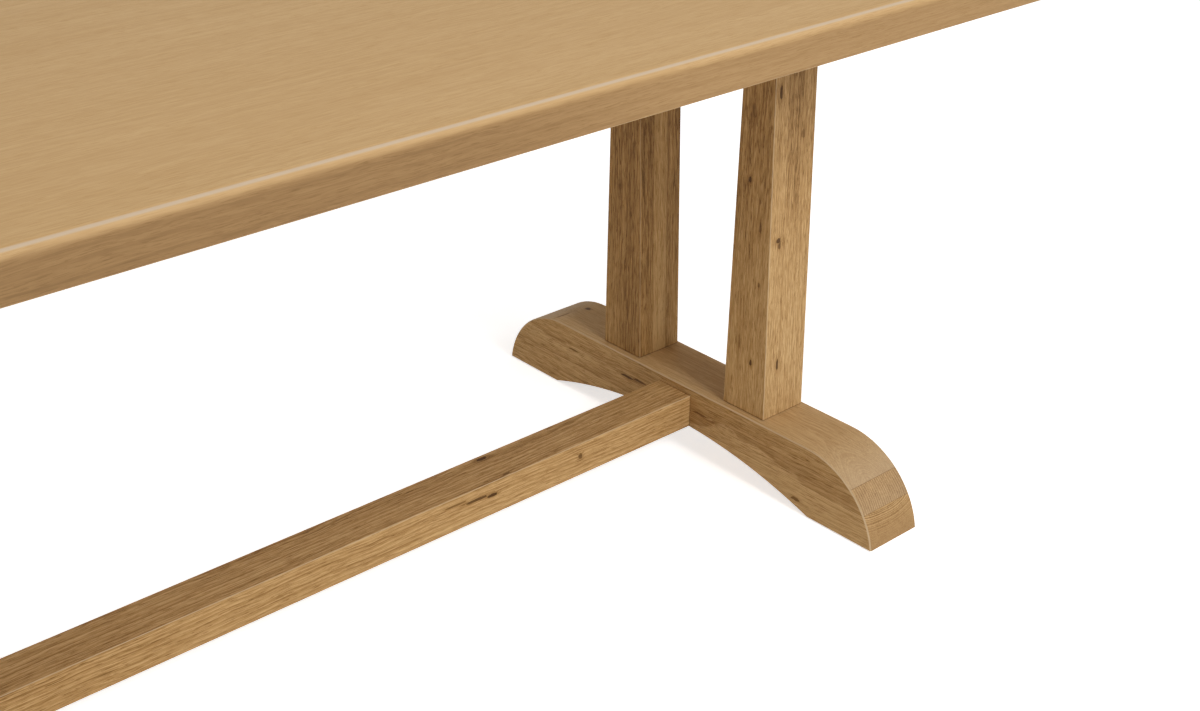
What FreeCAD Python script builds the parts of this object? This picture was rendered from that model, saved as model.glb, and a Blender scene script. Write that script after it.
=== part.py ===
import FreeCAD, Part
import math
import os

# Trestle dining table of solid oak, in millimetres.
# +X runs along the table, +Y across it and +Z up. The origin is on the floor,
# under the middle of the top. The two trestles are mirror images, so a trestle
# is modelled once, with x = 0 on the inner face of its foot and x growing
# towards the end of the table.

# Whole table
table_length = 2000.0
table_width = 920.0
table_height = 762.0
end_overhang = 300.0  # from the end of the top to the outer face of a foot

# Tabletop: boards glued edge to edge
top_thickness = 40.0
top_board_count = 7
top_corner_radius = 14.0
top_round_over = 11.0
top_lower_ease = 1.0

# Feet: two end blocks under a core board and a top board
foot_length = 725.0
foot_width = 90.0
foot_block_height = 44.0
foot_core_height = 28.0
foot_top_height = 28.0
foot_end_radius = 120.0
arch_span = 506.0
arch_rise = 42.0

# Posts: two outer boards and a core board that runs on into the tenons
post_spacing = 241.0  # between the middles of the two posts of a trestle
post_inset = 10.0  # from the inner face of the foot to the post
post_board_thickness = 25.0
post_base_depth = 75.0
post_head_depth = 50.0
post_shoulder = 8.0
post_base_ease = 0.8  # small chamfer that leaves a shadow line on the foot
foot_tenon_length = 50.0
head_tenon_length = 30.0

# Bearers across the heads of the posts
bearer_length = 700.0
bearer_width = 90.0
bearer_height = 45.0
bearer_end_height = 25.0
bearer_bevel_length = 60.0

# Stretcher between the feet
stretcher_width = 62.0
stretcher_height = 48.0
stretcher_drop = 10.0  # from the top of the foot down to the stretcher
stretcher_shoulder = 10.0
stub_tenon_length = 30.0

# Wooden joints
tenon_clearance = 0.15  # on each side of a tenon
mortise_spare_depth = 1.0  # room for glue past the end of a tenon
arris_ease = 1.5  # eased edges of feet, posts and stretcher
bearer_chamfer = 2.0

# Flat-headed bolts, the same for the stretcher and the top
bolt_radius = 4.0
bolt_hole_radius = 4.5
bolt_head_radius = 8.5
bolt_head_height = 2.2
socket_radius = 2.9
socket_depth = 4.5
thread_clearance = 0.1  # around a bolt in the nut or insert that it screws into

# Stretcher bolts and the cross dowels that they screw into
stretcher_bolt_length = 120.0
counterbore_radius = 9.5
counterbore_depth = 8.0
cross_dowel_radius = 5.0
cross_dowel_length = 24.0
cross_dowel_setback = 30.0  # from the end of the stretcher's side faces
cross_dowel_clearance = 0.2
bolt_bore_spare_depth = 1.0  # past the tip of a stretcher bolt

# Bolts and threaded inserts that hold the top
top_bolt_length = 60.0
top_bolt_board_step = 2  # the outer bolts are this many boards from the middle
slot_play = 5.5  # how far an outer bolt can move each way as the top swells
insert_radius = 6.0
insert_length = 20.0
insert_clearance = 0.1

# Glides: strips, each glued into a shallow recess under a foot
glide_length = 70.0
glide_width = 40.0
glide_thickness = 5.0
glide_stand = 2.0  # how far a glide lifts the foot off the floor
glide_clearance = 0.2

# Places worked out from the sizes above
foot_height = foot_block_height + foot_core_height + foot_top_height
foot_bottom_z = glide_stand
foot_core_z = foot_bottom_z + foot_block_height
foot_top_board_z = foot_core_z + foot_core_height
foot_top_z = foot_bottom_z + foot_height
foot_inner_x = table_length / 2 - end_overhang - foot_width
top_bottom_z = table_height - top_thickness
bearer_bottom_z = top_bottom_z - bearer_height
post_thickness = 3 * post_board_thickness
post_middle_x = post_inset + post_thickness / 2
post_tenon_base_width = post_base_depth - 2 * post_shoulder
post_tenon_head_width = post_head_depth - 2 * post_shoulder
bearer_x = (foot_width - bearer_width) / 2
stretcher_top_z = foot_top_z - stretcher_drop
stretcher_middle_z = stretcher_top_z - stretcher_height / 2
stub_tenon_width = stretcher_width - 2 * stretcher_shoulder
stub_tenon_height = stretcher_height - 2 * stretcher_shoulder
bolt_seat_x = foot_width - counterbore_depth
top_board_width = table_width / top_board_count
top_bolt_spread = top_bolt_board_step * top_board_width
top_bolt_x = foot_width / 2
glide_y = (foot_length + arch_span) / 4

UP = FreeCAD.Vector(0, 0, 1)
DOWN = FreeCAD.Vector(0, 0, -1)
ALONG = FreeCAD.Vector(1, 0, 0)
BACK_ALONG = FreeCAD.Vector(-1, 0, 0)
ORIGIN = FreeCAD.Vector(0, 0, 0)


def box_between(low, high):
    size = [high[i] - low[i] for i in range(3)]
    return Part.makeBox(*size, FreeCAD.Vector(*low))


def box_about(middle_x, middle_y, size_x, size_y, low_z, high_z):
    low = (middle_x - size_x / 2, middle_y - size_y / 2, low_z)
    high = (middle_x + size_x / 2, middle_y + size_y / 2, high_z)
    return box_between(low, high)


def cut_between(shape, axis, low, high):
    # The part of a shape that lies between two planes across an axis.
    bounds = shape.BoundBox
    margin = 1.0
    lows = [bounds.XMin - margin, bounds.YMin - margin, bounds.ZMin - margin]
    highs = [bounds.XMax + margin, bounds.YMax + margin, bounds.ZMax + margin]
    lows[axis] = low
    highs[axis] = high
    return shape.common(box_between(lows, highs))


def profile_across(edges, start_x, width):
    # A solid with its outline in the YZ plane.
    solid = Part.Face(Part.Wire(edges)).extrude(FreeCAD.Vector(width, 0, 0))
    return solid.translated(FreeCAD.Vector(start_x, 0, 0))


def edges_that(shape, test):
    return [edge for edge in shape.Edges if test(edge.BoundBox)]


def is_level_at(value, low, high):
    return abs(low - value) < 0.001 and abs(high - value) < 0.001


def place(shape, point, direction):
    # Moves a shape made along +Z to a point, along another direction.
    placed = shape.copy()
    placed.Placement = FreeCAD.Placement(point, FreeCAD.Rotation(UP, direction))
    return placed


def right_of(shape):
    return shape.translated(FreeCAD.Vector(foot_inner_x, 0, 0))


def left_of(shape):
    return right_of(shape).mirror(ORIGIN, ALONG)


def export(name, solids):
    shape = solids[0] if len(solids) == 1 else Part.makeCompound(solids)
    shape.exportStep("parts/" + name + ".step")


# Fasteners, each made along +Z with its seat at z = 0


def flat_head_bolt(length):
    head = Part.makeCylinder(bolt_head_radius, bolt_head_height, ORIGIN, DOWN)
    shank = Part.makeCylinder(bolt_radius, length)
    corners = []
    for corner in range(7):
        angle = math.radians(60 * corner)
        x = socket_radius * math.cos(angle)
        y = socket_radius * math.sin(angle)
        corners.append(FreeCAD.Vector(x, y, -bolt_head_height))
    socket = Part.Face(Part.makePolygon(corners)).extrude(UP * socket_depth)
    return head.fuse(shank).cut(socket).removeSplitter()


def cross_dowel():
    # Stands upright, with the bolt's hole across its middle.
    low = FreeCAD.Vector(0, 0, -cross_dowel_length / 2)
    body = Part.makeCylinder(cross_dowel_radius, cross_dowel_length, low)
    start = FreeCAD.Vector(-2 * cross_dowel_radius, 0, 0)
    bore = Part.makeCylinder(
        bolt_radius + thread_clearance, 4 * cross_dowel_radius, start, ALONG
    )
    return body.cut(bore)


def threaded_insert():
    body = Part.makeCylinder(insert_radius, insert_length)
    bore = Part.makeCylinder(bolt_radius + thread_clearance, insert_length)
    return body.cut(bore)


# Places of the fasteners on one trestle


def stretcher_bolt_point(x):
    return FreeCAD.Vector(x, 0, stretcher_middle_z)


def top_bolt_points(z):
    spread = (-top_bolt_spread, 0.0, top_bolt_spread)
    return [FreeCAD.Vector(top_bolt_x, y, z) for y in spread]


def glide_strips(low_z, high_z, clearance):
    strips = []
    for y in (-glide_y, glide_y):
        size_x = glide_width + 2 * clearance
        size_y = glide_length + 2 * clearance
        strips.append(box_about(foot_width / 2, y, size_x, size_y, low_z, high_z))
    return strips


# Foot


def foot_outline():
    # Level on top, curved down to the floor at both ends, arched below.
    half = foot_length / 2
    centre_z = foot_top_z - foot_end_radius
    turn = math.acos((foot_end_radius - foot_height) / foot_end_radius)
    centre_y = half - foot_end_radius * math.sin(turn)
    middle_y = centre_y + foot_end_radius * math.sin(turn / 2)
    middle_z = centre_z + foot_end_radius * math.cos(turn / 2)
    edges = []
    for side in (-1, 1):
        shoulder = FreeCAD.Vector(0, side * centre_y, foot_top_z)
        middle = FreeCAD.Vector(0, side * middle_y, middle_z)
        toe = FreeCAD.Vector(0, side * half, foot_bottom_z)
        spring = FreeCAD.Vector(0, side * arch_span / 2, foot_bottom_z)
        edges.append(Part.Arc(shoulder, middle, toe).toShape())
        edges.append(Part.makeLine(toe, spring))
    crown = FreeCAD.Vector(0, 0, foot_bottom_z + arch_rise)
    near_spring = FreeCAD.Vector(0, -arch_span / 2, foot_bottom_z)
    far_spring = FreeCAD.Vector(0, arch_span / 2, foot_bottom_z)
    near_shoulder = FreeCAD.Vector(0, -centre_y, foot_top_z)
    far_shoulder = FreeCAD.Vector(0, centre_y, foot_top_z)
    edges.append(Part.Arc(near_spring, crown, far_spring).toShape())
    edges.append(Part.makeLine(near_shoulder, far_shoulder))
    return Part.__sortEdges__(edges)


def foot_blank():
    blank = profile_across(foot_outline(), 0.0, foot_width)

    def is_outer_edge(box):
        on_face = is_level_at(0.0, box.XMin, box.XMax)
        on_face = on_face or is_level_at(foot_width, box.XMin, box.XMax)
        return on_face and box.ZMax > foot_bottom_z + arch_rise

    return blank.makeChamfer(arris_ease, edges_that(blank, is_outer_edge))


def foot_mortises():
    tools = []
    for y in (-post_spacing / 2, post_spacing / 2):
        depth = foot_tenon_length + mortise_spare_depth
        tools.append(
            box_about(
                post_middle_x,
                y,
                post_board_thickness + 2 * tenon_clearance,
                post_tenon_base_width + 2 * tenon_clearance,
                foot_top_z - depth,
                foot_top_z,
            )
        )
    depth = stub_tenon_length + mortise_spare_depth
    reach_y = stub_tenon_width / 2 + tenon_clearance
    reach_z = stub_tenon_height / 2 + tenon_clearance
    low = (0.0, -reach_y, stretcher_middle_z - reach_z)
    high = (depth, reach_y, stretcher_middle_z + reach_z)
    tools.append(box_between(low, high))
    return tools


def foot_bores_and_recesses():
    inner = stretcher_bolt_point(0.0)
    seat = stretcher_bolt_point(bolt_seat_x)
    tools = [
        Part.makeCylinder(bolt_hole_radius, foot_width, inner, ALONG),
        Part.makeCylinder(counterbore_radius, counterbore_depth, seat, ALONG),
    ]
    return tools + glide_strips(foot_bottom_z, glide_thickness, glide_clearance)


def foot_pieces():
    foot = foot_blank().cut(foot_mortises() + foot_bores_and_recesses())
    blocks = cut_between(foot, 2, foot_bottom_z, foot_core_z)
    half = foot_length / 2
    return {
        "foot_front_block": cut_between(blocks, 1, -half, 0.0),
        "foot_rear_block": cut_between(blocks, 1, 0.0, half),
        "foot_core_board": cut_between(foot, 2, foot_core_z, foot_top_board_z),
        "foot_top_board": cut_between(foot, 2, foot_top_board_z, foot_top_z),
    }


# Posts


def post_blank(middle_y):
    # Tapers across the table and is as thick along it from base to head.
    corners = []
    for side, depth, z in (
        (-1, post_base_depth, foot_top_z),
        (1, post_base_depth, foot_top_z),
        (1, post_head_depth, bearer_bottom_z),
        (-1, post_head_depth, bearer_bottom_z),
        (-1, post_base_depth, foot_top_z),
    ):
        corners.append(FreeCAD.Vector(0, middle_y + side * depth / 2, z))
    outline = Part.makePolygon(corners).Edges
    blank = profile_across(outline, post_inset, post_thickness)

    long_edges = edges_that(blank, lambda box: box.ZMax - box.ZMin > 1.0)
    blank = blank.makeFillet(arris_ease, long_edges)
    base = edges_that(blank, lambda box: is_level_at(foot_top_z, box.ZMin, box.ZMax))
    return blank.makeChamfer(post_base_ease, base)


def post_tenons(middle_y):
    lower = box_about(
        post_middle_x,
        middle_y,
        post_board_thickness,
        post_tenon_base_width,
        foot_top_z - foot_tenon_length,
        foot_top_z,
    )
    upper = box_about(
        post_middle_x,
        middle_y,
        post_board_thickness,
        post_tenon_head_width,
        bearer_bottom_z,
        bearer_bottom_z + head_tenon_length,
    )
    return [lower, upper]


def post_pieces(name, middle_y):
    blank = post_blank(middle_y)
    boards = []
    for index in range(3):
        low = post_inset + index * post_board_thickness
        boards.append(cut_between(blank, 0, low, low + post_board_thickness))
    core = boards[1].fuse(post_tenons(middle_y)).removeSplitter()
    return {
        name + "_inner_board": boards[0],
        name + "_core_board": core,
        name + "_outer_board": boards[2],
    }


# Bearer


def bearer():
    half = bearer_length / 2
    bevel_y = half - bearer_bevel_length
    end_z = top_bottom_z - bearer_end_height
    corners = []
    for y, z in (
        (-half, top_bottom_z),
        (-half, end_z),
        (-bevel_y, bearer_bottom_z),
        (bevel_y, bearer_bottom_z),
        (half, end_z),
        (half, top_bottom_z),
        (-half, top_bottom_z),
    ):
        corners.append(FreeCAD.Vector(0, y, z))
    blank = profile_across(Part.makePolygon(corners).Edges, bearer_x, bearer_width)

    def is_lower_edge(box):
        return box.XMax - box.XMin > 1.0 and box.ZMax < top_bottom_z - 1.0

    blank = blank.makeChamfer(bearer_chamfer, edges_that(blank, is_lower_edge))
    tools = []
    for y in (-post_spacing / 2, post_spacing / 2):
        depth = head_tenon_length + mortise_spare_depth
        tools.append(
            box_about(
                post_middle_x,
                y,
                post_board_thickness + 2 * tenon_clearance,
                post_tenon_head_width + 2 * tenon_clearance,
                bearer_bottom_z,
                bearer_bottom_z + depth,
            )
        )
    for point in top_bolt_points(bearer_bottom_z):
        tools.append(Part.makeCylinder(bolt_hole_radius, bearer_height, point))
    for side in (-1, 1):
        middle_y = side * top_bolt_spread
        tools.append(
            box_about(
                top_bolt_x,
                middle_y,
                2 * bolt_hole_radius,
                2 * slot_play,
                bearer_bottom_z,
                top_bottom_z,
            )
        )
        for end in (-slot_play, slot_play):
            point = FreeCAD.Vector(top_bolt_x, middle_y + end, bearer_bottom_z)
            tools.append(Part.makeCylinder(bolt_hole_radius, bearer_height, point))
    return blank.cut(tools)


# Stretcher


def stretcher():
    reach_y = stretcher_width / 2
    low = (-foot_inner_x, -reach_y, stretcher_top_z - stretcher_height)
    high = (foot_inner_x, reach_y, stretcher_top_z)
    beam = box_between(low, high)
    long_edges = edges_that(beam, lambda box: box.XMax - box.XMin > 1.0)
    beam = beam.makeFillet(arris_ease, long_edges)
    tenon = box_about(
        0.0,
        0.0,
        2 * (foot_inner_x + stub_tenon_length),
        stub_tenon_width,
        stretcher_middle_z - stub_tenon_height / 2,
        stretcher_middle_z + stub_tenon_height / 2,
    )
    beam = beam.fuse(tenon).removeSplitter()
    bore_end_x = bolt_seat_x - stretcher_bolt_length - bolt_bore_spare_depth
    bore_length = stub_tenon_length - bore_end_x
    bore_start = stretcher_bolt_point(bore_end_x)
    hole_radius = cross_dowel_radius + cross_dowel_clearance
    hole_low_z = stretcher_top_z - stretcher_height
    hole_top_z = stretcher_middle_z + cross_dowel_length / 2 + cross_dowel_clearance
    hole_foot = FreeCAD.Vector(-cross_dowel_setback, 0, hole_low_z)
    tools = [
        Part.makeCylinder(bolt_hole_radius, bore_length, bore_start, ALONG),
        Part.makeCylinder(hole_radius, hole_top_z - hole_low_z, hole_foot),
    ]
    both_ends = [right_of(tool) for tool in tools] + [left_of(tool) for tool in tools]
    return beam.cut(both_ends)


# Tabletop


def top_blank():
    low = (-table_length / 2, -table_width / 2, top_bottom_z)
    high = (table_length / 2, table_width / 2, table_height)
    slab = box_between(low, high)
    corners = edges_that(slab, lambda box: box.ZMax - box.ZMin > 1.0)
    slab = slab.makeFillet(top_corner_radius, corners)
    upper = edges_that(slab, lambda box: is_level_at(table_height, box.ZMin, box.ZMax))
    slab = slab.makeFillet(top_round_over, upper)
    lower = edges_that(slab, lambda box: is_level_at(top_bottom_z, box.ZMin, box.ZMax))
    return slab.makeChamfer(top_lower_ease, lower)


def top_boards():
    holes = []
    for point in top_bolt_points(top_bottom_z):
        hole = Part.makeCylinder(
            insert_radius + insert_clearance, insert_length + insert_clearance, point
        )
        holes.append(right_of(hole))
        holes.append(left_of(hole))
    slab = top_blank().cut(holes)
    boards = {}
    for index in range(top_board_count):
        low = -table_width / 2 + index * top_board_width
        board = cut_between(slab, 1, low, low + top_board_width)
        boards["top_board_" + str(index + 1)] = board
    return boards


# Fasteners of one trestle, by the node that groups them


def trestle_fasteners():
    stretcher_bolt = flat_head_bolt(stretcher_bolt_length)
    stretcher_seat = stretcher_bolt_point(bolt_seat_x)
    dowel_middle = stretcher_bolt_point(-cross_dowel_setback)
    top_bolt = flat_head_bolt(top_bolt_length)
    return {
        "stretcher_bolts": [place(stretcher_bolt, stretcher_seat, BACK_ALONG)],
        "cross_dowels": [place(cross_dowel(), dowel_middle, UP)],
        "top_bolts": [
            place(top_bolt, point, UP) for point in top_bolt_points(bearer_bottom_z)
        ],
        "top_inserts": [
            place(threaded_insert(), point, UP) for point in top_bolt_points(top_bottom_z)
        ],
        "glides": glide_strips(0.0, glide_thickness, 0.0),
    }


def trestle_pieces():
    pieces = foot_pieces()
    pieces.update(post_pieces("front_post", -post_spacing / 2))
    pieces.update(post_pieces("rear_post", post_spacing / 2))
    pieces["bearer"] = bearer()
    return pieces


os.makedirs("parts", exist_ok=True)
for name, piece in trestle_pieces().items():
    export("right_" + name, [right_of(piece)])
    export("left_" + name, [left_of(piece)])
for name, group in trestle_fasteners().items():
    export(name, [right_of(piece) for piece in group] + [left_of(piece) for piece in group])
export("stretcher", [stretcher()])
for name, board in top_boards().items():
    export(name, [board])
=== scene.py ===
import math

import bmesh
import bpy
from mathutils import Matrix, Vector


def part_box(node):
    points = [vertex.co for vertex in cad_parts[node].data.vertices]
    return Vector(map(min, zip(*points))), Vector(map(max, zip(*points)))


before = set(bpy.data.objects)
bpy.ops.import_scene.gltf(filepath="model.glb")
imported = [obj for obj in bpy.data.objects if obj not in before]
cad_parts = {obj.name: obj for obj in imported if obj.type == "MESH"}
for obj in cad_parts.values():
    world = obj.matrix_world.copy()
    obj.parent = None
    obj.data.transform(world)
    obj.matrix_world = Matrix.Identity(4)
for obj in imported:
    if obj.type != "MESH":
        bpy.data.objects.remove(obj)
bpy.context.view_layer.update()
print("frame loaded:", len(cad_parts), "nodes")


# shader sockets that take part in sums

class Wire:
    def __init__(self, tree, socket=None):
        self.tree = tree
        self.socket = socket

    def make(self, kind, settings=None, inputs=None, output=0):
        node = self.tree.nodes.new("ShaderNode" + kind)
        for name, value in (settings or {}).items():
            if name == "stops":
                fillRamp(node.color_ramp, value)
            else:
                setattr(node, name, value)
        for name, value in (inputs or {}).items():
            if isinstance(value, Wire):
                self.tree.links.new(value.socket, node.inputs[name])
            else:
                node.inputs[name].default_value = value
        return Wire(self.tree, node.outputs[output] if node.outputs else None)

    def other(self, output):
        return Wire(self.tree, self.socket.node.outputs[output])

    def math(self, operation, *values):
        return self.make("Math", {"operation": operation}, dict(enumerate(values)))

    def __add__(self, other):
        return self.math("ADD", self, other)

    def __radd__(self, other):
        return self.math("ADD", other, self)

    def __sub__(self, other):
        return self.math("SUBTRACT", self, other)

    def __rsub__(self, other):
        return self.math("SUBTRACT", other, self)

    def __mul__(self, other):
        return self.math("MULTIPLY", self, other)

    def __rmul__(self, other):
        return self.math("MULTIPLY", other, self)

    def vector(self, operation, *values):
        return self.make("VectorMath", {"operation": operation}, dict(enumerate(values)))

    def mixed(self, colour, share):
        return self.make("Mix", {"data_type": "RGBA"}, {0: share, 6: self, 7: colour}, 2)

    def dot(self, other):
        return self.make("VectorMath", {"operation": "DOT_PRODUCT"}, {0: self, 1: other}, 1)

    def length(self):
        return self.make("VectorMath", {"operation": "LENGTH"}, {0: self}, 1)

    def root(self):
        return self.math("SQRT", self)

    def size(self):
        return self.math("ABSOLUTE", self)

    def fraction(self):
        return self.math("FRACT", self)

    def ramp(self, low, high, start=0.0, end=1.0):
        # smooth step from start at low to end at high
        settings = {"interpolation_type": "SMOOTHSTEP"}
        return self.make("MapRange", settings, {0: self, 1: low, 2: high, 3: start, 4: end})


def fillRamp(ramp, stops):
    while len(ramp.elements) < len(stops):
        ramp.elements.new(1.0)
    for element, (place, colour) in zip(ramp.elements, stops):
        element.position = place
        element.color = colour


def newMaterial(name):
    material = bpy.data.materials.new(name)
    material.use_nodes = True
    material.node_tree.nodes.clear()
    return material, Wire(material.node_tree)


# oak, drawn through the whole board so that faces and ends agree

oakLook = {
    "warm": [
        (0.00, (0.070, 0.030, 0.009, 1)),
        (0.30, (0.275, 0.142, 0.045, 1)),
        (0.55, (0.430, 0.246, 0.088, 1)),
        (1.00, (0.620, 0.400, 0.175, 1)),
    ],
    "pale": [
        (0.00, (0.085, 0.042, 0.016, 1)),
        (0.30, (0.280, 0.163, 0.068, 1)),
        (0.55, (0.430, 0.273, 0.126, 1)),
        (1.00, (0.636, 0.452, 0.245, 1)),
    ],
    "level": 0.63,        # place on the stops of a plain board
    "sway": {"stretch": 0.35, "scale": 5.0, "reach": 0.012},
    "ripple": {"stretch": 0.60, "scale": 22.0, "reach": 0.0045},
    "layers": [           # fibres, coarse to fine; a smaller edge is crisper
        {"scale": 20.0, "stretch": 0.10, "weight": 0.32, "edge": 0.50},
        {"scale": 150.0, "stretch": 0.05, "weight": 0.20, "edge": 0.30},
        {"scale": 400.0, "stretch": 0.08, "weight": 0.08, "edge": 0.10},
        {"scale": 760.0, "stretch": 0.07, "weight": 0.20, "edge": 0.06},
    ],
    "pores": {"scale": 1300.0, "stretch": 0.045, "from": 0.56, "to": 0.61, "depth": 0.40},
    "poreShare": 0.7,     # fewer in the late wood
    "shift": (1.0, 0.7, 1.3),   # the way to another board's place in the pattern
    "noiseRoughness": 0.55,
    "upright": (0.80, 0.14),    # where painted side shading runs from level to upright faces
    "noHighlightBelow": (-0.60, -0.20),  # corners that look down get no painted highlight and no wear, as they lie in shade
    # colour of the painted grey sheen on end grain
    "endPaintedSheen": (0.430, 0.385, 0.320, 1),
    "roughness": 0.60,
    "poreRough": 0.12,
    "fibreGloss": 0.20,
    "specular": 0.14,
    "ior": 1.46,
    "bump": 0.12,
    "bumpHeight": 0.001,
    "fibreHeight": 1.5,
    "poreDepth": 0.6,
}

yearLook = {
    "unevenScale": 0.45,   # how soon the width of the years changes
    "rise": (0.15, 0.95),  # from early to late wood, in parts of a year
    "fall": (0.95, 1.00),
    "middle": 0.4,         # taken off, so that the rings leave the mean tone
    "fade": 0.5,           # the rings fade from this part of ringReach on
}

knotLook = {
    "raggedScale": 1.7,
    "raggedDetail": 3.0,
    "ragged": 1.1,        # how far the outline strays
    "edge": (1.10, 0.85),
    "haloInside": 0.8,
    "haloShade": 0.35,
    "bend": 1.6,          # in rings
}

glueLine = {"width": 0.0005, "core": 0.0002, "depth": 0.38}
# dark line where parts meet: partly the joint, partly painted contact shade
jointAndContactShade = {"width": 0.0020, "core": 0.0008, "depth": 0.62}

plainBoard = {
    "tone": 0.0,          # lighter above 0
    "contrast": 1.0,
    "drawn": 1.0,         # length of the fibres
    "pale": (0, 0, 0),    # share of the paler stops on faces towards X, Y and Z
    "calm": (0, 0, 0),    # share of the figure lost there
    "paintedSideShading": 0.0,      # painted shade added on upright faces, painted light above 0
    "endTone": -0.07,     # added where the grain ends
    "endPaintedSheen": 0.0,       # share of painted grey sheen there
    "paintedShading": None,        # painted shading along upright faces: two places, and the tone at each
    "ringDepth": 0.16,
    "ringReach": 1.0,     # metres from the pith where the rings have faded
    "uneven": 1.6,        # how far the years differ, in rings
    "seams": (),          # glue lines, by axis and end of the board's own box
    "arris": "X",         # the axis that the lightened corners turn away from
    "band": (0.20, 0.50, 0.80, 0.97),  # its share of the normal: wear and painted highlight from, full, to, none
    # how much the corners are lightened, partly as wear and partly as a painted highlight
    "wearAndHighlight": 0.80,
    "wearAndHighlightColour": (0.560, 0.415, 0.255, 1),
}


def threeAxes(wire, vector):
    split = wire.make("SeparateXYZ", inputs={0: vector})
    return {axis: split.other(axis) for axis in "XYZ"}


def noiseAlong(wire, point, look, seed, detail=2.0, output="Fac"):
    # noise drawn out along the grain, which is the point's first number
    shift = tuple(seed * share for share in oakLook["shift"])
    inputs = {
        "Vector": wire.vector("MULTIPLY_ADD", point, (look["stretch"], 1, 1), shift),
        "Scale": look["scale"],
        "Detail": detail,
        "Roughness": oakLook["noiseRoughness"],
    }
    return wire.make("TexNoise", inputs=inputs, output=output)


def wander(wire, point, look, seed):
    # push the fibres sideways
    noise = noiseAlong(wire, point, look, seed, 1.0, "Color")
    centred = wire.vector("SUBTRACT", noise, (0.5, 0.5, 0.5))
    return wire.vector("MULTIPLY_ADD", centred, (0, look["reach"], look["reach"]), point)


def fibreTone(wire, point, drawn, seed):
    # lighter and darker fibres, about 0
    tones = []
    for look in oakLook["layers"]:
        noise = noiseAlong(wire, point, {**look, "stretch": look["stretch"] / drawn}, seed)
        light = noise.ramp(0.5 - look["edge"], 0.5 + look["edge"])
        tones.append((light - 0.5) * look["weight"])
    return sum(tones[1:], tones[0])


def lateWood(wire, radius, look, seed):
    # below 0 in a year's early wood, rising above it where the ring ends
    count = radius * (1 / look["ring"])
    inputs = {"W": count * yearLook["unevenScale"] + seed, "Scale": 1.0, "Detail": 1.0}
    uneven = wire.make("TexNoise", {"noise_dimensions": "1D"}, inputs, "Fac")
    year = (count + uneven * look["uneven"]).fraction()
    late = year.ramp(*yearLook["rise"]) - year.ramp(*yearLook["fall"])
    reach = look["ringReach"]
    return (late - yearLook["middle"]) * radius.ramp(reach, reach * yearLook["fade"])


def knotMasks(wire, place, grain, knot):
    # a ragged ball stretched along the grain, and the fibres that bend round it
    reach = [knot["long"] if axis == grain else knot["wide"] for axis in "XYZ"]
    offset = wire.vector("SUBTRACT", place, knot["at"])
    scaled = wire.vector("DIVIDE", offset, reach)
    inputs = {
        "Vector": scaled,
        "Scale": knotLook["raggedScale"],
        "Detail": knotLook["raggedDetail"],
    }
    ragged = wire.make("TexNoise", inputs=inputs, output="Fac")
    distance = scaled.length() + (ragged - 0.5) * knotLook["ragged"]
    core = distance.ramp(*knotLook["edge"]) * knot["dark"]
    halo = distance.ramp(knot["halo"], knotLook["haloInside"]) * knot["dark"]
    return core, halo


def paleArris(facing, look):
    # sanded corners where faces meet, lightened partly as wear and partly as a painted highlight
    slant = facing["Z"] if look["arris"] == "Z" else facing["X"].size()
    start, full, last, end = look["band"]
    above = facing["Z"].ramp(*oakLook["noHighlightBelow"])
    return slant.ramp(start, full) * slant.ramp(end, last) * above * look["wearAndHighlight"]


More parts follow.
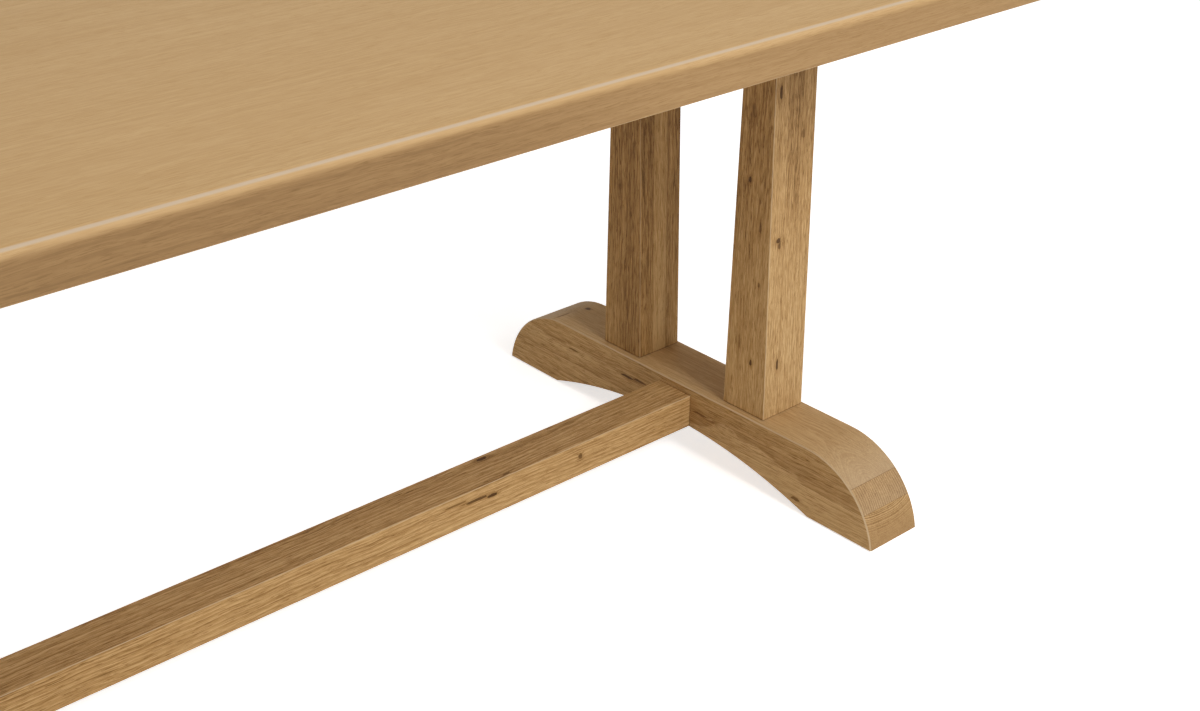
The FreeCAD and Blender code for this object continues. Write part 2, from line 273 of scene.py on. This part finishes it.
def oak(name, look, pith, seams, knots, seed):
    material, wire = newMaterial(name)
    place = wire.make("TexCoord", output="Object")
    axes = threeAxes(wire, place)
    facing = threeAxes(wire, place.other("Normal"))
    grain = look["grain"]
    across = [axis for axis in "XYZ" if axis != grain]

    inputs = {0: axes[grain], 1: axes[across[0]], 2: axes[across[1]]}
    point = wire.make("CombineXYZ", inputs=inputs)
    point = wander(wire, point, oakLook["sway"], seed)
    point = wander(wire, point, oakLook["ripple"], seed)
    parts = threeAxes(wire, point)
    outFirst = parts["Y"] - pith[0]
    outSecond = parts["Z"] - pith[1]
    radius = (outFirst * outFirst + outSecond * outSecond).root()

    knotShade = []
    for knot in knots:
        core, halo = knotMasks(wire, place, grain, knot)
        knotShade.append((1.0 - halo * knotLook["haloShade"]) * (1.0 - core))
        radius = radius + halo * halo * (look["ring"] * knotLook["bend"])

    late = lateWood(wire, radius, look, seed)
    tone = fibreTone(wire, point, look["drawn"], seed)
    holes = oakLook["pores"]
    pores = noiseAlong(wire, point, holes, seed).ramp(holes["from"], holes["to"])
    pores = pores * ((1.0 - late) * oakLook["poreShare"])

    squared = place.vector("MULTIPLY", place.other("Normal"), place.other("Normal"))
    calm = squared.dot(look["calm"])
    figure = (tone - pores * holes["depth"]) * (1.0 - calm) - late * look["ringDepth"]
    level = figure * look["contrast"] + (oakLook["level"] + look["tone"])
    # painted shade: upright faces made darker or lighter than level ones
    upright = facing["Z"].size().ramp(*oakLook["upright"])
    level = level + upright * look["paintedSideShading"]
    # painted shading along the grain of upright faces
    if look["paintedShading"]:
        level = level + upright * axes[grain].ramp(*look["paintedShading"])
    level = level + facing[grain] * facing[grain] * look["endTone"]
    for shade in knotShade:
        level = level * shade
    # glue lines, and dark lines at joints that are partly painted contact shade
    for axis, at, kind in seams:
        line = (axes[axis] - at).size().ramp(kind["width"], kind["core"])
        level = level * (1.0 - line * kind["depth"])

    warm = wire.make("ValToRGB", {"stops": oakLook["warm"]}, {0: level}, "Color")
    pale = wire.make("ValToRGB", {"stops": oakLook["pale"]}, {0: level}, "Color")
    colour = warm.mixed(pale, squared.dot(look["pale"]))
    # painted grey sheen on end grain
    colour = colour.mixed(oakLook["endPaintedSheen"], facing[grain].size() * look["endPaintedSheen"])
    # corners lightened partly as wear and partly as a painted highlight
    colour = colour.mixed(look["wearAndHighlightColour"], paleArris(facing, look))

    rough = oakLook["roughness"] + pores * oakLook["poreRough"] - tone * oakLook["fibreGloss"]
    height = tone * oakLook["fibreHeight"] - pores * oakLook["poreDepth"]
    relief = {"Strength": oakLook["bump"], "Distance": oakLook["bumpHeight"], "Height": height}
    finish = {
        "Base Color": colour,
        "Roughness": rough,
        "Normal": wire.make("Bump", inputs=relief),
        "IOR": oakLook["ior"],
        "Specular IOR Level": oakLook["specular"],
    }
    wire.make("OutputMaterial", inputs={0: wire.make("BsdfPrincipled", inputs=finish)})
    return material


# steel and nylon, each with a fine grit

gritLook = {"detail": 2.0, "height": 0.0003}
fittingLooks = {
    "zincSteel": {
        "colour": (0.55, 0.56, 0.57, 1), "metallic": 1.0, "roughness": 0.28, "uneven": 0.14,
        "scale": 900.0, "bump": 0.15,
    },
    "glideNylon": {
        "colour": (0.16, 0.13, 0.10, 1), "metallic": 0.0, "roughness": 0.50, "uneven": 0.20,
        "scale": 1500.0, "bump": 0.20,
    },
}


def fittingFinish(name):
    look = {**gritLook, **fittingLooks[name]}
    material, wire = newMaterial(name)
    place = wire.make("TexCoord", output="Object")
    pattern = {"Vector": place, "Scale": look["scale"], "Detail": look["detail"]}
    grit = wire.make("TexNoise", inputs=pattern, output="Fac")
    relief = {"Strength": look["bump"], "Distance": look["height"], "Height": grit}
    finish = {
        "Base Color": look["colour"],
        "Metallic": look["metallic"],
        "Roughness": look["roughness"] + grit * look["uneven"],
        "Normal": wire.make("Bump", inputs=relief),
    }
    wire.make("OutputMaterial", inputs={0: wire.make("BsdfPrincipled", inputs=finish)})
    return material


def wear(node, material):
    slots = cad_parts[node].data.materials
    slots.clear()
    slots.append(material)


# one board, its grain along one axis and its pith off its middle

def dressBoard(node, look, seed, joints=()):
    look = {**plainBoard, **look}
    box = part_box(node)
    middle = {axis: (box[0][i] + box[1][i]) / 2 for i, axis in enumerate("XYZ")}
    first, second = [axis for axis in "XYZ" if axis != look["grain"]]
    pith = (middle[first] + look["pith"][0], middle[second] + look["pith"][1])
    seams = [(axis, box[end]["XYZ".index(axis)], glueLine) for axis, end in look["seams"]]
    seams += [(axis, at, jointAndContactShade) for axis, at in joints]
    wear(node, oak("oak_" + node, look, pith, seams, knots.get(node, ()), seed))


footWood = {"grain": "Y", "drawn": 1.6}
# painted shade on the boards' upright faces, and a painted grey sheen on their end grain, as given
# below
footBoards = {
    "foot_top_board": {
        "pith": (-0.012, -0.020), "ring": 0.0026, "ringDepth": 0.15, "tone": 0.13,
        "pale": (0.1, 1, 0.6), "calm": (0, 0.70, 0.45), "paintedSideShading": -0.12, "endTone": -0.20,
        "endPaintedSheen": 0.36,
        "seams": [("Z", 0)],
    },
    "foot_core_board": {
        "pith": (-0.40, 0.02), "ring": 0.0038, "ringDepth": 0.30, "uneven": 0.5, "tone": 0.06,
        "pale": (0.2, 1, 0), "calm": (0, 0.60, 0), "endTone": -0.24, "endPaintedSheen": 0.16,
        "seams": [("Z", 0), ("Z", 1)],
    },
    "foot_front_block": {
        "pith": (-0.006, 0.160), "ring": 0.0026, "ringDepth": 1.15, "ringReach": 0.182,
        "tone": 0.24, "pale": (0.2, 0.8, 0), "calm": (0, 0.65, 0), "endTone": -0.44,
        "seams": [("Z", 1)],
    },
    "foot_rear_block": {
        "pith": (-0.03, -0.07), "ring": 0.0036, "tone": 0.05,
        "pale": (0.2, 0.8, 0), "calm": (0, 0.60, 0), "endTone": -0.16, "seams": [("Z", 1)],
    },
}

# painted shade from the table top: a post is lighter near the floor and as much darker near its
# head, from one height to another
postWood = {"grain": "Z", "between": (0.58, 0.08)}
postSeams = {"inner": [1], "core": [0, 1], "outer": [0]}
postBoards = {
    "front_post_inner_board": {
        "pith": (-0.16, 0.06), "ring": 0.0032, "tone": 0.0, "paintedShadeSwing": 0.10, "wearAndHighlight": 0.70,
        "pale": (0.1, 0.4, 0),
    },
    "front_post_core_board": {
        "pith": (0.10, -0.14), "ring": 0.0030, "tone": -0.03, "paintedShadeSwing": 0.17, "pale": (0, 0.4, 0),
    },
    "front_post_outer_board": {
        "pith": (0.12, 0.10), "ring": 0.0034, "tone": -0.05, "paintedShadeSwing": 0.08, "pale": (0, 0.4, 0),
    },
    "rear_post_inner_board": {
        "pith": (-0.12, -0.10), "ring": 0.0035, "tone": -0.22, "paintedShadeSwing": 0.09, "drawn": 1.6,
        "wearAndHighlight": 0.40,
    },
    "rear_post_core_board": {
        "pith": (0.14, 0.05), "ring": 0.0031, "tone": 0.06, "paintedShadeSwing": 0.17, "drawn": 1.6,
    },
    "rear_post_outer_board": {
        "pith": (0.06, -0.16), "ring": 0.0030, "tone": -0.20, "paintedShadeSwing": 0.12, "drawn": 1.6,
        "wearAndHighlight": 0.50,
    },
}

bearerBoard = {"grain": "Y", "pith": (0.03, 0.09), "ring": 0.0038}
stretcherBoard = {
    "grain": "X", "pith": (0.05, -0.06), "ring": 0.0036, "ringDepth": 0.28, "drawn": 1.7,
    # painted light on the stretcher's upright sides
    "tone": -0.02, "paintedSideShading": 0.09, "pale": (0, 0.15, 0.3), "arris": "Z",
}

topBoards = {
    "grain": "X",
    "ring": 0.0048,
    "tone": 0.07,
    "contrast": 0.27,
    "drawn": 1.5,
    # painted light: the top's edge lighter towards +X, where the lamps are
    "paintedShading": (-0.12, 0.24, 0.0, 0.12),
    "pale": (1, 1, 0.55),
    "calm": (0, 0.35, 0),
    # painted shade on the edge of the top
    "paintedSideShading": -0.42,
    "arris": "Z",
    # the pale band on the round-over is a painted highlight, in a colour darkened to offset the
    # lamp on it
    "band": (0.74, 0.84, 0.91, 0.965),
    "wearAndHighlight": 0.85,
    "wearAndHighlightColour": (0.490, 0.385, 0.280, 1),
}

# the pith lies below the boards and wanders from board to board
topPith = {
    "boards": 7,
    "sway": 0.05,
    "swayTurn": 2.3,
    "below": 0.088,
    "belowSway": 0.0385,
    "belowTurn": 1.7,
}

# places are in metres in the table's own frame
knots = {
    "right_front_post_inner_board": [
        {"at": (0.620, -0.1136, 0.512), "long": 0.0200, "wide": 0.0046, "dark": 0.30, "halo": 2.4},
        {"at": (0.620, -0.1132, 0.431), "long": 0.0040, "wide": 0.0021, "dark": 0.95, "halo": 3.0},
        {"at": (0.620, -0.1346, 0.372), "long": 0.0080, "wide": 0.0016, "dark": 0.70, "halo": 3.0},
        {"at": (0.620, -0.1368, 0.293), "long": 0.0036, "wide": 0.0016, "dark": 0.60, "halo": 2.5},
        {"at": (0.620, -0.1296, 0.178), "long": 0.0044, "wide": 0.0021, "dark": 0.90, "halo": 3.0},
        {"at": (0.630, -0.1483, 0.552), "long": 0.0090, "wide": 0.0024, "dark": 0.95, "halo": 3.0},
        {"at": (0.6355, -0.1526, 0.356), "long": 0.0036, "wide": 0.0038, "dark": 0.90, "halo": 3.6},
        {"at": (0.6375, -0.1526, 0.348), "long": 0.0044, "wide": 0.0020, "dark": 0.75, "halo": 3.0},
        {"at": (0.6425, -0.1563, 0.178), "long": 0.0080, "wide": 0.0022, "dark": 0.85, "halo": 2.5},
    ],
    "right_front_post_outer_board": [
        {"at": (0.6735, -0.1496, 0.490), "long": 0.0060, "wide": 0.0034, "dark": 0.45, "halo": 3.2},
    ],
    "right_foot_core_board": [
        {"at": (0.610, 0.098, 0.0700), "long": 0.0130, "wide": 0.0020, "dark": 0.90, "halo": 2.5},
        {"at": (0.610, 0.072, 0.0722), "long": 0.0140, "wide": 0.0018, "dark": 0.80, "halo": 2.5},
        {"at": (0.610, -0.050, 0.0705), "long": 0.0140, "wide": 0.0015, "dark": 0.70, "halo": 2.5},
        {"at": (0.610, 0.216, 0.0675), "long": 0.0100, "wide": 0.0016, "dark": 0.55, "halo": 2.5},
    ],
    "right_foot_front_block": [
        {"at": (0.610, -0.231, 0.0190), "long": 0.0080, "wide": 0.0026, "dark": 0.70, "halo": 2.5},
    ],
    "right_foot_top_board": [
        {"at": (0.672, 0.2537, 0.102), "long": 0.0046, "wide": 0.0034, "dark": 0.90, "halo": 2.5},
        {"at": (0.632, 0.2630, 0.102), "long": 0.0020, "wide": 0.0130, "dark": 0.50, "halo": 2.0},
    ],
    "stretcher": [
        {"at": (0.262, -0.031, 0.0728), "long": 0.0080, "wide": 0.0024, "dark": 0.95, "halo": 2.5},
        {"at": (0.238, -0.031, 0.0760), "long": 0.0170, "wide": 0.0020, "dark": 0.85, "halo": 2.5},
        {"at": (0.205, -0.031, 0.0812), "long": 0.0170, "wide": 0.0014, "dark": 0.60, "halo": 2.5},
        {"at": (0.409, -0.031, 0.0734), "long": 0.0034, "wide": 0.0040, "dark": 0.70, "halo": 3.0},
        {"at": (0.287, 0.0226, 0.092), "long": 0.0085, "wide": 0.0028, "dark": 0.90, "halo": 2.5},
        {"at": (0.288, -0.0270, 0.092), "long": 0.0060, "wide": 0.0018, "dark": 0.55, "halo": 2.5},
        {"at": (-0.330, 0.0310, 0.066), "long": 0.0100, "wide": 0.0034, "dark": 0.85, "halo": 2.5},
    ],
    "left_front_post_inner_board": [
        {"at": (-0.620, -0.104, 0.245), "long": 0.0080, "wide": 0.0028, "dark": 0.85, "halo": 2.5},
    ],
    "left_rear_post_outer_board": [
        {"at": (-0.695, 0.118, 0.410), "long": 0.0090, "wide": 0.0038, "dark": 0.90, "halo": 3.0},
        {"at": (-0.695, 0.139, 0.190), "long": 0.0042, "wide": 0.0021, "dark": 0.75, "halo": 2.5},
    ],
    "left_foot_top_board": [
        {"at": (-0.643, -0.262, 0.099), "long": 0.0060, "wide": 0.0034, "dark": 0.85, "halo": 2.5},
    ],
}

# each board is cut from a place of its own in the pattern
seeds = {"first": 3.0, "step": 4.7}

print("dressing the trestles")
seed = seeds["first"]
for side in ("right", "left"):
    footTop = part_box(side + "_foot_top_board")[1][2]
    for part, look in footBoards.items():
        dressBoard(side + "_" + part, {**footWood, **look}, seed)
        seed += seeds["step"]
    for part, look in postBoards.items():
        ends = postSeams[part.split("_")[2]]
        if side == "left":
            ends = [1 - end for end in ends]
        # painted shade along the post, lighter low and darker high
        paintedShading = (*postWood["between"], -look["paintedShadeSwing"], look["paintedShadeSwing"])
        look = {**postWood, **look, "paintedShading": paintedShading, "seams": [("X", end) for end in ends]}
        # the dark line at the foot's top is partly painted contact shade
        dressBoard(side + "_" + part, look, seed, joints=[("Z", footTop)])
        seed += seeds["step"]
    dressBoard(side + "_bearer", bearerBoard, seed)
    seed += seeds["step"]

# dark lines where the stretcher meets the feet, partly painted contact shade
joints = []
for side, end in (("right", 0), ("left", 1)):
    joints.append(("X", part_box(side + "_foot_core_board")[end][0]))
dressBoard("stretcher", stretcherBoard, seed, joints=joints)

print("dressing the top")
for count in range(1, topPith["boards"] + 1):
    seed += seeds["step"]
    sway = topPith["sway"] * math.sin(count * topPith["swayTurn"])
    below = topPith["below"] + topPith["belowSway"] * math.cos(count * topPith["belowTurn"])
    dressBoard("top_board_" + str(count), {**topBoards, "pith": (sway, -below)}, seed)

print("dressing the fittings")
steel = fittingFinish("zincSteel")
for node in ("stretcher_bolts", "cross_dowels", "top_bolts", "top_inserts"):
    wear(node, steel)
wear("glides", fittingFinish("glideNylon"))


# studio

white = (1, 1, 1, 1)

studio = {
    "floorSize": 60.0,
    "floorColour": (0.90, 0.90, 0.90, 1),
    "floorLift": 0.65,
    "worldStrength": 0.39,
    "front": {"at": (1.20, -3.5, 0.55), "to": (0.62, 0.0, 0.35), "size": 1.3, "watts": 14},
    "key": {"at": (0.35, -3.3, 2.8), "to": (0.45, 0.0, 0.2), "size": 1.3, "watts": 84},
    "above": {"at": (-0.2, -0.4, 3.2), "to": (0.0, 0.0, 0.7), "size": 2.6, "watts": 20},
    "side": {"at": (-3.2, 0.7, 0.30), "to": (0.0, 0.2, 0.1), "size": 1.4, "watts": 23},
}


def seenDirectly(wire):
    ray = wire.make("LightPath", output="Is Camera Ray")
    seen = ray + ray.other("Is Glossy Ray") + ray.other("Is Transmission Ray")
    return seen.math("MINIMUM", seen, 1.0)


def layFloor():
    sheet = bmesh.new()
    bmesh.ops.create_grid(sheet, x_segments=1, y_segments=1, size=studio["floorSize"] / 2)
    mesh = bpy.data.meshes.new("floor")
    sheet.to_mesh(mesh)
    sheet.free()
    floor = bpy.data.objects.new("floor", mesh)
    bpy.context.scene.collection.objects.link(floor)
    material, wire = newMaterial("floorPaint")
    paint = wire.make("BsdfDiffuse", inputs={"Color": studio["floorColour"]})
    glow = wire.make("Emission", inputs={"Color": white, "Strength": studio["floorLift"]})
    bright = wire.make("AddShader", inputs={0: paint, 1: glow})
    above = wire.make("MixShader", inputs={0: seenDirectly(wire), 1: paint, 2: bright})
    # clear from below, so that the underside can be seen
    beneath = wire.make("NewGeometry", output="Backfacing")
    clear = wire.make("BsdfTransparent", inputs={"Color": white})
    oneSided = wire.make("MixShader", inputs={0: beneath, 1: above, 2: clear})
    wire.make("OutputMaterial", inputs={0: oneSided})
    mesh.materials.append(material)


def lightWorld():
    world = bpy.data.worlds.new("studioWorld")
    world.use_nodes = True
    world.node_tree.nodes.clear()
    bpy.context.scene.world = world
    wire = Wire(world.node_tree)
    dim = wire.make("Background", inputs={"Color": white, "Strength": studio["worldStrength"]})
    plain = wire.make("Background", inputs={"Color": white, "Strength": 1.0})
    sky = wire.make("MixShader", inputs={0: seenDirectly(wire), 1: dim, 2: plain})
    wire.make("OutputWorld", inputs={0: sky})


def hangLamp(name):
    look = studio[name]
    light = bpy.data.lights.new(name + "Lamp", "AREA")
    light.shape = "SQUARE"
    light.size = look["size"]
    light.energy = look["watts"]
    lamp = bpy.data.objects.new(name + "Lamp", light)
    lamp.location = look["at"]
    aim = Vector(look["to"]) - Vector(look["at"])
    lamp.rotation_euler = aim.to_track_quat("-Z", "Y").to_euler()
    bpy.context.scene.collection.objects.link(lamp)


print("setting up the studio")
layFloor()
lightWorld()
for lampName in ("front", "key", "above", "side"):
    hangLamp(lampName)


# camera

shot = {
    "at": (-0.8836622, -1.5105163, 1.2291654),
    "yaw": 0.7306,
    "pitch": 0.4739,
    "roll": 0.0081,
    "lens": 52.050,
    "sensor": 36.0,
    "clipStart": 0.05,
}


def placeCamera():
    camera = bpy.data.cameras.new("camera")
    camera.lens = shot["lens"]
    camera.sensor_width = shot["sensor"]
    camera.sensor_fit = "HORIZONTAL"
    camera.clip_start = shot["clipStart"]
    yaw, pitch, roll = shot["yaw"], shot["pitch"], shot["roll"]
    ahead = Vector((
        math.sin(yaw) * math.cos(pitch),
        math.cos(yaw) * math.cos(pitch),
        -math.sin(pitch),
    ))
    level = Vector((math.cos(yaw), -math.sin(yaw), 0))
    upright = level.cross(ahead)
    right = math.cos(roll) * level + math.sin(roll) * upright
    up = math.cos(roll) * upright - math.sin(roll) * level
    turn = Matrix((right, up, -ahead)).transposed()
    holder = bpy.data.objects.new("camera", camera)
    holder.matrix_world = Matrix.Translation(shot["at"]) @ turn.to_4x4()
    bpy.context.scene.collection.objects.link(holder)
    bpy.context.scene.camera = holder


print("placing the camera")
placeCamera()
bpy.context.scene.view_settings.view_transform = "Standard"
